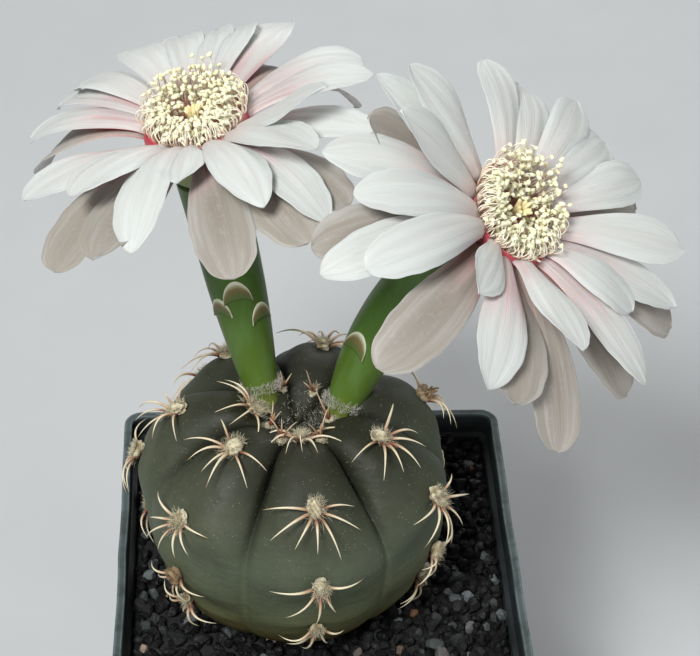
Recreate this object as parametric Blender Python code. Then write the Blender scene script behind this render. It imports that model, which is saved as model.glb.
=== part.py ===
"""A flowering chin cactus in a square plastic pot, modelled in metres with +Z up.

The origin is the middle of the pot's underside. The viewer of the flowers stands at -Y.
"""

import math
import random

import bmesh
import bpy
import numpy as np
from mathutils import Vector

MM = 0.001
GAP = 0.3 * MM  # clearance between neighbouring pieces

# Pot: a 7 cm square nursery pot.
POT_TOP = 70 * MM
POT_FOOT = 52 * MM
POT_HEIGHT = 65 * MM
RIM_WIDTH = 1.5 * MM
RIM_DEPTH = 6 * MM
RIM_STEP = 0.7 * MM
WALL = 1.2 * MM
FLOOR = 1.6 * MM
RIM_CORNER = 3.2 * MM
FOOT_CORNER = 5 * MM
CORNER_STEPS = 3
DRAIN_RADIUS = 3.2 * MM
DRAIN_OFFSET = 17 * MM

# Gravel: fills the pot to a little under its rim.
GRAVEL_LEVEL = 60.2 * MM
STONE_SIZE = (3.6 * MM, 6.0 * MM)
STONE_PITCH = 5.6 * MM

# Cactus body: a flattened globe with seven broad ribs and a sunken crown.
BODY_X, BODY_Y = -4.5 * MM, 1.6 * MM
EQUATOR_Z = 84 * MM
BODY_RADIUS = 25.9 * MM
CROWN_RISE = 17 * MM
BASE_DROP = 26.8 * MM
ROUNDNESS = (0.96, 0.55)  # power of the sine that gives the radius, above and below the equator
BURIED_DEPTH = 9 * MM
CHIN = 0.022  # swelling at an areole, as a share of the radius
RIDGES = (172, 221, 277, 333, 25, 73, 125)  # directions of the ribs in degrees, the viewer at 270
AREOLES = (  # degrees down from the crown, a row for each rib
    (14, 47, 86, 115), (30, 70, 104, 122), (10, 47, 87, 115), (33, 72, 106, 124),
    (22, 66, 100, 121), (40, 77, 108, 124), (18, 48, 85, 113),
)
WOOL_RADIUS = 2.1 * MM
SPINE_CLOCK = (-94, -48, -4, 44, 90)  # degrees round an areole from straight down
SPINE_LENGTH = 9.2 * MM
SPINE_RADIUS = 0.42 * MM

# Flowers: throat centre, direction that the flower faces, where its tube leaves the body, and how
# far below the cup the tube's bend is centred.
FLOWERS = {
    "left": {
        "throat": (-20.6, 19.8, 143.0),
        "faces": (-0.20, 0.08, 0.976),
        "root": (-9.6, 6.6, 95.0),
        "straight": 15.0,
    },
    "right": {
        "throat": (27.7, 3.0, 138.0),
        "faces": (0.545, -0.319, 0.775),
        "root": (2.6, 3.4, 94.5),
        "straight": 24.0,
    },
}
# Each petal is (direction round the flower, length in mm, angle from the axis at its tip).
PETALS = {
    "left": {
        "inner": (
            (72, 20, 132), (82, 20, 124), (95, 20.5, 123), (113, 20.5, 121), (135, 20, 129),
            (234, 22, 96), (252, 26, 130), (265, 14, 99), (289, 23.5, 118), (312, 22, 97),
            (325, 21, 63),
        ),
        "middle": (
            (12, 21, 115), (27, 22, 121), (61, 23.5, 111), (142, 22.5, 130), (161, 21.5, 129),
            (215, 23, 99), (305, 27, 127), (332, 23.5, 100),
        ),
        "outer": (
            (33, 24, 159), (56, 25, 164), (159, 24, 153), (232, 27, 119), (245, 25.5, 105),
            (278, 27.5, 125), (298, 26.5, 114), (307, 25, 100),
        ),
    },
    "right": {
        "inner": (
            (26, 21, 108), (42, 20, 118), (59, 20.5, 114), (80, 18.5, 131), (100, 18.5, 116),
            (146, 21, 95), (169, 20.5, 85), (192, 25, 119), (211, 26.5, 127), (238, 13.5, 96),
            (278, 19, 74), (329, 16.5, 122), (359, 23, 92),
        ),
        "middle": (
            (153, 22.5, 99), (179, 27, 119), (206, 30.5, 134), (255, 24.5, 108), (315, 24.5, 102),
            (343, 24, 102),
        ),
        "outer": (
            (6, 24.5, 137), (22, 25.5, 120), (164, 21, 76), (201, 28.5, 124), (233, 29, 126),
            (266, 23.5, 98), (282, 28.5, 115), (315, 25, 117), (343, 26.5, 108),
        ),
    },
}
# Whorl: radius and height of the petal's foot, angle from the axis there, and widest breadth.
WHORLS = {
    "inner": (8.0, 0.0, 58.0, 8.0),
    "middle": (8.5, -0.8, 66.0, 8.0),
    "outer": (8.9, -1.8, 74.0, 8.6),
}
PETAL_STATIONS = (0.0, 0.3, 0.6, 0.86, 1.0)
PETAL_THICKNESS = 1.1 * MM
PETAL_CHANNEL = 0.9 * MM
PETAL_ROOT = 0.9 * MM
TUBE_END = -9.9 * MM  # along the axis from the throat
TUBE_PROFILE = (
    (0.0, 2.3), (0.07, 3.0), (0.25, 4.1), (0.42, 4.7), (0.62, 5.0), (0.82, 5.2), (1.0, 5.4),
)
CUP_PROFILE = (
    (0.0, -9.6), (5.4, -9.6), (6.2, -7.0), (7.6, -4.2), (9.2, -2.2), (9.7, -0.9), (9.2, 0.4),
    (7.6, 0.6), (7.1, -1.0), (5.8, -4.4), (3.2, -7.4), (0.0, -7.7),
)
STAMEN_BED = (
    (2.0, -7.2), (3.0, -7.1), (5.3, -4.2), (6.4, -1.2), (6.6, 0.3), (6.0, 0.6), (4.0, -2.4),
    (2.0, -4.8),
)
# Ring of stamens: radius and height of its feet, how many, their length, and outward lean.
STAMEN_RINGS = ((5.7, 0.0, 18, 5.6, 0.3), (4.8, -1.3, 12, 5.6, 0.2), (3.4, -3.2, 6, 5.6, 0.1))
STYLE_RADIUS = 1.1 * MM
STYLE_FOOT = -7.2 * MM
STYLE_TOP = 0.6 * MM
STIGMA_LOBES = 7
STIGMA_LENGTH = 3.2 * MM
# Scales on a tube: share of its length, direction round it in degrees, breadth in mm.
SCALES = {
    "left": ((0.45, 270, 4.8), (0.39, 226, 4.0), (0.34, 314, 4.0), (0.56, 80, 4.4)),
    "right": ((0.35, 222, 4.8), (0.60, 330, 4.4), (0.52, 90, 4.4)),
}

COLOURS = {
    "pot": ((0.035, 0.045, 0.05), 0.5),
    "gravel": ((0.03, 0.032, 0.034), 0.75),
    "body": ((0.09, 0.13, 0.09), 0.55),
    "tube": ((0.12, 0.25, 0.06), 0.45),
    "petals": ((0.86, 0.80, 0.79), 0.5),
    "stamens": ((0.85, 0.78, 0.48), 0.6),
    "style": ((0.86, 0.76, 0.50), 0.6),
}


def clear_scene():
    for obj in list(bpy.data.objects):
        bpy.data.objects.remove(obj)


def material(name):
    """A Principled material in the part's own colour, made once."""
    found = bpy.data.materials.get(name)
    if found:
        return found
    colour, roughness = COLOURS[name]
    made = bpy.data.materials.new(name)
    made.use_nodes = True
    shader = made.node_tree.nodes["Principled BSDF"]
    shader.inputs["Base Color"].default_value = (*colour, 1)
    shader.inputs["Roughness"].default_value = roughness
    shader.inputs["Metallic"].default_value = 0
    return made


def new_object(name, verts, faces, finish):
    """A closed mesh object with its faces turned outwards."""
    mesh = bpy.data.meshes.new(name)
    mesh.from_pydata([tuple(v) for v in verts], [], faces)
    shape = bmesh.new()
    shape.from_mesh(mesh)
    bmesh.ops.recalc_face_normals(shape, faces=shape.faces)
    bmesh.ops.triangulate(shape, faces=shape.faces)
    if shape.calc_volume(signed=True) < 0:
        bmesh.ops.reverse_faces(shape, faces=shape.faces)
    shape.to_mesh(mesh)
    shape.free()
    mesh.materials.append(material(finish))
    obj = bpy.data.objects.new(name, mesh)
    bpy.context.scene.collection.objects.link(obj)
    return obj


def loft(rings):
    """Vertices and faces of a closed skin through rings of equal size. A ring of one point is a pole."""
    verts, faces, starts = [], [], []
    for ring in rings:
        starts.append(len(verts))
        verts.extend(ring)
    count = max(len(ring) for ring in rings)
    for a, b in zip(range(len(rings) - 1), range(1, len(rings))):
        for i in range(count):
            j = (i + 1) % count
            lower = [starts[a] + i, starts[a] + j] if len(rings[a]) > 1 else [starts[a]]
            upper = [starts[b] + j, starts[b] + i] if len(rings[b]) > 1 else [starts[b]]
            faces.append(lower + upper)
    for ring, start in ((rings[0], starts[0]), (rings[-1], starts[-1])):
        if len(ring) > 1:
            faces.append(list(range(start, start + len(ring))))
    return verts, faces


def boolean(obj, others, operation, solver="EXACT"):
    """Applies one Boolean of a collection to an object, and removes the collection's objects."""
    group = bpy.data.collections.new("operands")
    bpy.context.scene.collection.children.link(group)
    for other in others:
        bpy.context.scene.collection.objects.unlink(other)
        group.objects.link(other)
    modifier = obj.modifiers.new("join", "BOOLEAN")
    modifier.operand_type = "COLLECTION"
    modifier.collection = group
    modifier.operation = operation
    modifier.solver = solver
    graph = bpy.context.evaluated_depsgraph_get()
    graph.update()
    joined = bpy.data.meshes.new_from_object(obj.evaluated_get(graph))
    obj.modifiers.clear()
    obj.data = joined
    for other in others:
        bpy.data.objects.remove(other)
    bpy.data.collections.remove(group)
    keep_outer_shell(obj)
    return obj


def keep_outer_shell(obj):
    """Fills what a Boolean leaves sealed inside: only the mesh island with the most vertices stays."""
    shape = bmesh.new()
    shape.from_mesh(obj.data)
    left, islands = set(shape.verts), []
    while left:
        island, edge = set(), [left.pop()]
        while edge:
            vert = edge.pop()
            island.add(vert)
            near = {link.other_vert(vert) for link in vert.link_edges} & left
            left -= near
            edge.extend(near)
        islands.append(island)
    islands.sort(key=len)
    for island in islands[:-1]:
        bmesh.ops.delete(shape, geom=list(island), context="VERTS")
    shape.to_mesh(obj.data)
    shape.free()


def round_things(obj, sharp_degrees=40):
    obj.data.shade_smooth()
    obj.data.set_sharp_from_angle(angle=math.radians(sharp_degrees))
    return obj


def rounded_square(side, corner, z, steps=CORNER_STEPS):
    """A ring of points round a square with round corners."""
    ring = []
    inner = side / 2 - corner
    for quarter in range(4):
        cx = inner * (1 if quarter in (0, 3) else -1)
        cy = inner * (1 if quarter in (0, 1) else -1)
        for step in range(steps + 1):
            angle = math.radians(90 * (quarter + step / steps))
            ring.append((cx + corner * math.cos(angle), cy + corner * math.sin(angle), z))
    return ring


def pot_side(z):
    """Breadth of the pot's outer wall at a height, under the rim."""
    top = POT_TOP - 2 * RIM_STEP
    return POT_FOOT + (top - POT_FOOT) * z / POT_HEIGHT


def pot_corner(z):
    return FOOT_CORNER + (RIM_CORNER - FOOT_CORNER) * z / POT_HEIGHT


def make_pot():
    under_rim = POT_HEIGHT - RIM_DEPTH
    lip = 0.5 * MM
    inside = POT_TOP - 2 * RIM_WIDTH
    rings = [
        rounded_square(POT_FOOT - 2 * lip, FOOT_CORNER, 0),
        rounded_square(pot_side(lip), FOOT_CORNER, lip),
        rounded_square(pot_side(under_rim), pot_corner(under_rim), under_rim),
        rounded_square(POT_TOP - lip, RIM_CORNER, under_rim),
        rounded_square(POT_TOP, RIM_CORNER, POT_HEIGHT - lip),
        rounded_square(POT_TOP - lip, RIM_CORNER, POT_HEIGHT),
        rounded_square(inside + lip, RIM_CORNER - WALL, POT_HEIGHT),
        rounded_square(inside, RIM_CORNER - WALL, POT_HEIGHT - lip),
        rounded_square(inside - lip, RIM_CORNER - WALL, under_rim + 3 * lip),
        rounded_square(pot_side(under_rim) - 2 * WALL, RIM_CORNER - WALL, under_rim + 2 * lip),
        rounded_square(pot_side(FLOOR) - 2 * WALL, FOOT_CORNER - WALL, FLOOR),
    ]
    pot = new_object("pot", *loft(rings), "pot")
    drains = []
    for sx in (-1, 1):
        for sy in (-1, 1):
            rings = []
            for z in (-2 * MM, FLOOR + 2 * MM):
                rings.append([
                    (
                        sx * DRAIN_OFFSET + DRAIN_RADIUS * math.cos(math.tau * k / 10),
                        sy * DRAIN_OFFSET + DRAIN_RADIUS * math.sin(math.tau * k / 10),
                        z,
                    )
                    for k in range(10)
                ])
            drains.append(new_object("drain", *loft(rings), "pot"))
    return round_things(boolean(pot, drains, "DIFFERENCE"), 30)


def rib_at(azimuth):
    """The rib in a direction, and the place from its ridge at 0 to its grooves at -1 and 1."""
    for rib, ridge in enumerate(RIDGES):
        offset = (azimuth - ridge + 180) % 360 - 180
        ahead = (RIDGES[(rib + 1) % len(RIDGES)] - ridge) % 360 / 2
        behind = (ridge - RIDGES[rib - 1]) % 360 / 2
        if -behind <= offset <= ahead:
            return rib, offset / (ahead if offset > 0 else behind)
    raise ValueError(azimuth)


def groove_depth(polar):
    """Share of the radius that the grooves cut in, by angle down from the crown."""
    return 0.02 + 0.20 * math.exp(-(((polar - 42) / 30) ** 2))


def chin_wave(rib, polar):
    """1 at each areole of a rib and -1 half way between two."""
    rows = AREOLES[rib]
    place = float(np.interp(polar, rows, range(len(rows))))
    return math.cos(math.tau * place) if rows[0] < polar < rows[-1] else 0.6


def body_point(azimuth, polar, proud=0.0):
    """A point on the body's skin, by direction and by angle down from the crown, both in degrees."""
    p = math.radians(polar)
    rib, offset = rib_at(azimuth)
    groove = groove_depth(polar) * abs(offset) ** 3
    chin = CHIN * chin_wave(rib, polar) * (1 - offset**2)
    round_part = math.sin(p) ** ROUNDNESS[polar >= 90]
    radius = BODY_RADIUS * round_part * (1 - groove + chin) + proud * math.sin(p)
    height = (CROWN_RISE if polar < 90 else BASE_DROP) * math.cos(p)
    height -= CROWN_RISE * 0.9 * groove * max(0.0, math.cos(p))
    height -= 6.5 * MM * math.exp(-((polar / 17) ** 2))
    a = math.radians(azimuth)
    return Vector((
        BODY_X + radius * math.cos(a),
        BODY_Y + radius * math.sin(a),
        EQUATOR_Z + height + proud * math.cos(p),
    ))



def base_polar():
    """Angle down from the crown at which the skin meets the gravel's top."""
    return math.degrees(math.acos(-(EQUATOR_Z - GRAVEL_LEVEL) / BASE_DROP))


def base_radius(polar):
    point = body_point(RIDGES[0], polar)
    return math.hypot(point.x - BODY_X, point.y - BODY_Y)


def make_body_skin():
    """The ribbed body down to its buried foot, as one closed skin."""
    azimuths = []
    for rib, ridge in enumerate(RIDGES):
        ahead = (RIDGES[(rib + 1) % len(RIDGES)] - ridge) % 360 / 2
        behind = (ridge - RIDGES[rib - 1]) % 360 / 2
        azimuths += [ridge - share * behind for share in (1.0, 0.84, 0.5)]
        azimuths += [ridge + share * ahead for share in (0.0, 0.5, 0.84)]
    foot = base_polar()
    polars = [6, 13, 21, 31, 44, 59, 75, 92, 109, 125, 140]
    polars = [polar for polar in polars if polar < foot - 3] + [foot]
    rings = [[body_point(0, 0)]]
    rings += [[body_point(a, polar) for a in azimuths] for polar in polars]
    root = base_radius(foot)
    for share, drop in ((0.84, 0.5), (0.45, 1.0)):
        rings.append([
            Vector((
                BODY_X + root * share * math.cos(math.radians(a)),
                BODY_Y + root * share * math.sin(math.radians(a)),
                GRAVEL_LEVEL - drop * BURIED_DEPTH,
            ))
            for a in azimuths
        ])
    return new_object("cactus_body", *loft(rings), "body")


def areoles():
    """(azimuth, polar) of every areole: each rib's row is set off from the next one's."""
    return [(ridge, polar) for ridge, row in zip(RIDGES, AREOLES) for polar in row]


def surface_frame(azimuth, polar):
    """Point, outward normal, downward and sideways directions on the skin at an areole."""
    here = body_point(azimuth, polar)
    down = (body_point(azimuth, polar + 3) - body_point(azimuth, polar - 3)).normalized()
    side = Vector((-math.sin(math.radians(azimuth)), math.cos(math.radians(azimuth)), 0))
    normal = side.cross(down).normalized()
    outward = Vector((here.x - BODY_X, here.y - BODY_Y, here.z - EQUATOR_Z + 8 * MM))
    if normal.dot(outward) < 0:
        normal.negate()
    return here, normal, down, side


def tube_path(side, share):
    """A point on a flower tube's bent centre line, from its root at 0 to the cup at 1."""
    flower = FLOWERS[side]
    axis = Vector(flower["faces"]).normalized()
    start = Vector(flower["root"]) * MM
    end = Vector(flower["throat"]) * MM + axis * TUBE_END
    bend = end - axis * flower["straight"] * MM
    return start * (1 - share) ** 2 + bend * 2 * share * (1 - share) + end * share**2


def tube_radius(share):
    xs = [x for x, _ in TUBE_PROFILE]
    rs = [r for _, r in TUBE_PROFILE]
    return float(np.interp(share, xs, rs)) * MM


def clear_of_tubes(points, margin):
    """True if no point comes nearer a flower tube than a margin."""
    for side in FLOWERS:
        for step in range(17):
            share = step / 16
            centre, radius = tube_path(side, share), tube_radius(share)
            if any((point - centre).length < radius + margin for point in points):
                return False
    return True


def spine_points(azimuth, polar, clock, length, lift):
    """Root, middle and tip of a spine that leaves its areole and bends back along the skin."""
    here, normal, down, side = surface_frame(azimuth, polar)
    turn = math.radians(clock)
    along = down * math.cos(turn) + side * math.sin(turn)
    root = here - normal * 2.0 * MM + along * 0.3 * MM
    middle = here + along * length * 0.5 + normal * lift
    tip = here + along * length * 0.96 + normal * lift * 0.7
    return root, middle, tip


def needle(points, radii, sides, finish):
    """A closed needle of a few sides through points, with a sharp tip."""
    rings = []
    across = (points[1] - points[0]).orthogonal()
    for k, (point, radius) in enumerate(zip(points, radii)):
        ahead = (points[min(k + 1, len(points) - 1)] - points[max(k - 1, 0)]).normalized()
        across = (across - ahead * across.dot(ahead)).normalized()
        other = ahead.cross(across)
        if radius == 0:
            rings.append([point])
            continue
        rings.append([
            point + (across * math.cos(math.tau * i / sides) + other * math.sin(math.tau * i / sides)) * radius
            for i in range(sides)
        ])
    return new_object("needle", *loft(rings), finish)


def wool_pad(azimuth, polar, radius):
    """A low dome of felt on an areole."""
    here, normal, down, side = surface_frame(azimuth, polar)
    rings = []
    for height, share in ((-2.2, 0.8), (0.3, 1.0), (1.1, 0.55)):
        rings.append([
            here + normal * height * MM
            + (down * 1.15 * math.cos(math.tau * i / 6) + side * math.sin(math.tau * i / 6)) * radius * share
            for i in range(6)
        ])
    return new_object("wool", *loft(rings), "body")


def make_body():
    """The body with its felt pads and spines joined on, and sockets for the flower tubes."""
    sockets = [make_tube(side, "socket", GAP) for side in FLOWERS]
    body = boolean(make_body_skin(), sockets, "DIFFERENCE")
    draw = random.Random(5)
    grown = []
    top = GRAVEL_LEVEL + 2.2 * MM
    for azimuth, polar in areoles():
        young = polar < 10
        radius = WOOL_RADIUS * (0.62 if young else 1.0)
        here = surface_frame(azimuth, polar)[0]
        if here.z < top + radius:
            continue
        if clear_of_tubes([here], radius + 0.5 * MM):
            grown.append(wool_pad(azimuth, polar, radius))
        else:
            continue
        for clock in SPINE_CLOCK:
            length = SPINE_LENGTH * draw.uniform(0.72, 1.15) * (0.6 if young else 1.0)
            lift = draw.uniform(1.5, 2.8) * MM
            points = spine_points(azimuth, polar, clock + draw.uniform(-9, 9), length, lift)
            if min(point.z for point in points) < top or not clear_of_tubes(points, 1.0 * MM):
                continue
            grown.append(needle(points, (SPINE_RADIUS, SPINE_RADIUS * 0.85, 0), 3, "body"))
    return round_things(boolean(body, grown, "UNION", "MANIFOLD"), 35)


def make_tube(side, name, swell=0.0):
    """A flower's green tube, as a solid swept along its bent centre line."""
    rings = []
    steps = 7
    for step in range(steps + 1):
        share = step / steps
        centre = tube_path(side, share)
        ahead = (tube_path(side, share + 0.02) - tube_path(side, share - 0.02)).normalized()
        across = (Vector((1, 0, 0)) - ahead * ahead.x).normalized()
        other = ahead.cross(across)
        if swell and step == 0:
            centre = centre - ahead * swell
        radius = tube_radius(share) + swell
        rings.append([
            centre + (across * math.cos(math.tau * i / 12) + other * math.sin(math.tau * i / 12)) * radius
            for i in range(12)
        ])
    return new_object(name, *loft(rings), "tube")


def make_scale(side, share, direction, breadth):
    """A crescent scale that stands a little off a tube, pointing up it."""
    ahead = (tube_path(side, share + 0.02) - tube_path(side, share - 0.02)).normalized()
    across = (Vector((1, 0, 0)) - ahead * ahead.x).normalized()
    other = ahead.cross(across)
    turn = math.radians(direction)
    out = across * math.cos(turn) + other * math.sin(turn)
    flank = ahead.cross(out)
    centre = tube_path(side, share) + out * tube_radius(share)
    half = breadth * MM / 2
    outline = ((-1.0, -0.9), (-0.7, 0.2), (0.0, 0.8), (0.7, 0.2), (1.0, -0.9), (0.0, -0.5))
    rings = []
    for depth, size in ((-0.9, 1.0), (0.45, 0.86)):
        rings.append([
            centre + flank * x * half * size + ahead * y * half * size
            + out * (depth * MM - abs(x) ** 2 * half * 0.28)
            for x, y in outline
        ])
    return new_object("scale", *loft(rings), "tube")


def flower_frame(side):
    """Throat centre, axis and two directions across it: the first is level with world X."""
    flower = FLOWERS[side]
    axis = Vector(flower["faces"]).normalized()
    first = (Vector((1, 0, 0)) - axis * axis.x).normalized()
    return Vector(flower["throat"]) * MM, axis, first, axis.cross(first)


def turned(side, name, profile, finish, sides=16, hollow=False):
    """A solid turned round a flower's axis from (radius, height) points in mm."""
    throat, axis, first, second = flower_frame(side)
    rings = []
    for radius, height in profile:
        centre = throat + axis * height * MM
        if radius == 0:
            rings.append([centre])
            continue
        rings.append([
            centre
            + (first * math.cos(math.tau * i / sides) + second * math.sin(math.tau * i / sides)) * radius * MM
            for i in range(sides)
        ])
    if not hollow:
        return new_object(name, *loft(rings), finish)
    verts, faces = loft(rings + [rings[0]])
    count = len(rings[0])
    return new_object(
        name,
        verts[: count * len(rings)],
        [[v % (count * len(rings)) for v in face] for face in faces[: count * len(rings)]],
        finish,
    )


def petal_centre(side, direction, length, tip_angle, whorl, share):
    """Point and travel direction on a petal's centre line, an arc that droops outwards."""
    throat, axis, first, second = flower_frame(side)
    foot_radius, foot_height, foot_angle, _ = WHORLS[whorl]
    turn = math.radians(direction)
    radial = first * math.cos(turn) + second * math.sin(turn)
    start = math.radians(foot_angle)
    bend = math.radians(tip_angle) - start
    angle = start + bend * share
    run = length * MM
    out = foot_radius * MM + run * (math.cos(start) - math.cos(angle)) / bend
    up = foot_height * MM + run * (math.sin(angle) - math.sin(start)) / bend
    travel = radial * math.sin(angle) + axis * math.cos(angle)
    return throat + radial * out + axis * up, travel, axis.cross(radial)


def petal_breadth(share):
    """Share of a petal's full breadth along it: a narrow foot, widest past the middle, a round tip."""
    return (0.46 + 0.54 * math.sin(math.pi / 2 * min(1, share / 0.68)) ** 1.4) * math.sqrt(
        max(0.0, 1 - max(0.0, (share - 0.62) / 0.38) ** 3)
    )


def make_petal(side, direction, length, tip_angle, whorl):
    """One closed blade with a shallow channel along its upper face."""
    rings = []
    for share in PETAL_STATIONS:
        point, travel, across = petal_centre(side, direction, length, tip_angle, whorl, share)
        if share == 0:
            point = point - travel * PETAL_ROOT
        if share == 1:
            rings.append([point])
            continue
        upper = across.cross(travel).normalized()
        half = WHORLS[whorl][3] * MM / 2 * petal_breadth(share)
        rise = upper * PETAL_CHANNEL * (half / (4 * MM))
        rings.append([
            point - across * half + rise,
            point - upper * PETAL_THICKNESS / 2,
            point + across * half + rise,
            point + upper * PETAL_THICKNESS / 2,
        ])
    return new_object("petal", *loft(rings), "petals")


def make_petals(side):
    cup = turned(side, side + "_flower_petals", CUP_PROFILE, "petals")
    blades = [
        make_petal(side, *petal, whorl)
        for whorl, petals in PETALS[side].items()
        for petal in petals
    ]
    return round_things(boolean(cup, blades, "UNION", "MANIFOLD"), 50)


def make_stamens(side):
    """The bed that lines the throat, with its stamens standing out of it."""
    bed = turned(side, side + "_flower_stamens", STAMEN_BED, "stamens", 16, hollow=True)
    throat, axis, first, second = flower_frame(side)
    draw = random.Random(3)
    grown = []
    for radius, height, count, length, lean in STAMEN_RINGS:
        for k in range(count):
            turn = math.tau * k / count + draw.uniform(-0.06, 0.06)
            radial = first * math.cos(turn) + second * math.sin(turn)
            foot = throat + radial * radius * MM + axis * (height - 0.9) * MM
            reach = length * draw.uniform(0.85, 1.15) * MM
            rise = (axis + radial * (lean + draw.uniform(-0.12, 0.12))).normalized()
            neck = foot + rise * reach
            grown.append(needle(
                (foot, neck, neck + rise * 0.5 * MM, neck + rise * 1.5 * MM),
                (0.36 * MM, 0.30 * MM, 0.85 * MM, 0),
                3,
                "stamens",
            ))
    return round_things(boolean(bed, grown, "UNION", "MANIFOLD"), 50)


def make_style(side):
    """The style in the middle of the throat, with its spread stigma lobes."""
    r = STYLE_RADIUS / MM
    foot, top = STYLE_FOOT / MM, STYLE_TOP / MM
    profile = ((r, foot), (r, top - 1.4), (r * 1.5, top), (r * 0.7, top + 0.7))
    column = turned(side, side + "_flower_style", profile, "style", 8)
    throat, axis, first, second = flower_frame(side)
    lobes = []
    for k in range(STIGMA_LOBES):
        turn = math.tau * k / STIGMA_LOBES
        radial = first * math.cos(turn) + second * math.sin(turn)
        foot_point = throat + axis * (STYLE_TOP - 0.6 * MM) + radial * 0.5 * MM
        middle = foot_point + axis * STIGMA_LENGTH * 0.7 + radial * 0.5 * MM
        tip = middle + axis * STIGMA_LENGTH * 0.45 + radial * 0.3 * MM
        lobes.append(needle((foot_point, middle, tip), (0.42 * MM, 0.38 * MM, 0), 3, "style"))
    return round_things(boolean(column, lobes, "UNION", "MANIFOLD"), 50)


def make_gravel():
    """The pot's filling, with stones standing out of its top and a plain hole for the body."""
    root = base_radius(base_polar())
    under_rim = POT_HEIGHT - RIM_DEPTH
    rings = [
        rounded_square(pot_side(FLOOR) - 2 * (WALL + GAP), FOOT_CORNER - WALL, FLOOR + GAP),
        rounded_square(pot_side(under_rim) - 2 * (WALL + GAP) - 1 * MM, RIM_CORNER - WALL, under_rim - MM),
        rounded_square(pot_side(under_rim) - 2 * (WALL + GAP) - 1 * MM, RIM_CORNER - WALL, GRAVEL_LEVEL),
    ]
    gravel = new_object("gravel", *loft(rings), "gravel")
    draw = random.Random(8)
    edge = pot_side(under_rim) / 2 - WALL - GAP
    half = edge - STONE_SIZE[0] / 2
    count = int(2 * half / STONE_PITCH) + 1
    stones = []
    for row in range(count):
        for column in range(count):
            x = -half + 2 * half * column / (count - 1) + draw.uniform(-0.6, 0.6) * MM
            y = -half + 2 * half * row / (count - 1) + draw.uniform(-0.6, 0.6) * MM
            size = draw.uniform(*STONE_SIZE)
            turn = draw.uniform(0, math.tau)
            x, y = (math.copysign(min(abs(v), edge - size * 0.57), v) for v in (x, y))
            if math.hypot(x - BODY_X, y - BODY_Y) < root + size * 0.5:
                continue
            stones.append(make_stone(draw, x, y, size, turn))
    boolean(gravel, stones, "UNION", "MANIFOLD")
    hole = []
    for radius, z in (
        (root * 0.45 + GAP, GRAVEL_LEVEL - BURIED_DEPTH - GAP),
        (root * 0.86 + 3 * GAP, GRAVEL_LEVEL - BURIED_DEPTH * 0.5),
        (root + 2 * GAP, GRAVEL_LEVEL),
        (root + 4 * MM, GRAVEL_LEVEL + 4 * MM),
    ):
        hole.append([
            (BODY_X + radius * math.cos(math.tau * i / 32), BODY_Y + radius * math.sin(math.tau * i / 32), z)
            for i in range(32)
        ])
    cutter = new_object("hole", *loft(hole), "gravel")
    return round_things(boolean(gravel, [cutter], "DIFFERENCE", "MANIFOLD"), 20)


def make_stone(draw, x, y, size, turn):
    """A low, six-sided lump half sunk in the gravel."""
    rings = []
    for height, share in ((-0.25, 1.05), (0.26, 0.66)):
        rings.append([
            (
                x + size / 2 * share * math.cos(turn + math.tau * i / 5) * draw.uniform(0.85, 1.1),
                y + size / 2 * share * math.sin(turn + math.tau * i / 5) * draw.uniform(0.85, 1.1),
                GRAVEL_LEVEL + size * height,
            )
            for i in range(5)
        ])
    return new_object("stone", *loft(rings), "gravel")


def make_flower(side):
    tube = make_tube(side, side + "_flower_tube")
    scales = [make_scale(side, *scale) for scale in SCALES[side]]
    round_things(boolean(tube, scales, "UNION", "MANIFOLD"), 50)
    make_petals(side)
    make_stamens(side)
    make_style(side)


def main():
    clear_scene()
    make_pot()
    make_gravel()
    make_body()
    for side in FLOWERS:
        make_flower(side)


if __name__ == "__main__":
    main()
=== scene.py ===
"""Looks of the flowering chin cactus: finer pieces over the frame, materials, light and camera."""

import math

import bmesh
import bpy
import numpy as np
from mathutils import Matrix


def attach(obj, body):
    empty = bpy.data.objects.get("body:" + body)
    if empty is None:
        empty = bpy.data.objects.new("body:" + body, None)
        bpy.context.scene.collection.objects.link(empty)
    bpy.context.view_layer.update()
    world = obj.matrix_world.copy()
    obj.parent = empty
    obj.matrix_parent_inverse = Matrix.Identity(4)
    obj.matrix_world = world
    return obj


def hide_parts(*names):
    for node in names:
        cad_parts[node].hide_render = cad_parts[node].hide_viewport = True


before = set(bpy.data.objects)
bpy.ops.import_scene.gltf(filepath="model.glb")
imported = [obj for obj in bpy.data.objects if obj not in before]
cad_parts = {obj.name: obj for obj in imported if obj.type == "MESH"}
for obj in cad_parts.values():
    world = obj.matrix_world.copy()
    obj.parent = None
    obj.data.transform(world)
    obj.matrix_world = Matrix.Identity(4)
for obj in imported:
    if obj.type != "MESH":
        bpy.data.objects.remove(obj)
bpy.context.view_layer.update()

MM = 0.001

# Pot and gravel, as in the frame (mm).
POT_TOP, POT_FOOT, POT_HEIGHT = 70, 52, 65
RIM_WIDTH, RIM_DEPTH, RIM_STEP, WALL, FLOOR = 1.5, 6, 0.7, 1.2, 1.6
RIM_CORNER, FOOT_CORNER = 3.2, 5
DRAIN_RADIUS, DRAIN_OFFSET = 3.2, 17
GRAVEL_LEVEL = 60.2

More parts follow.
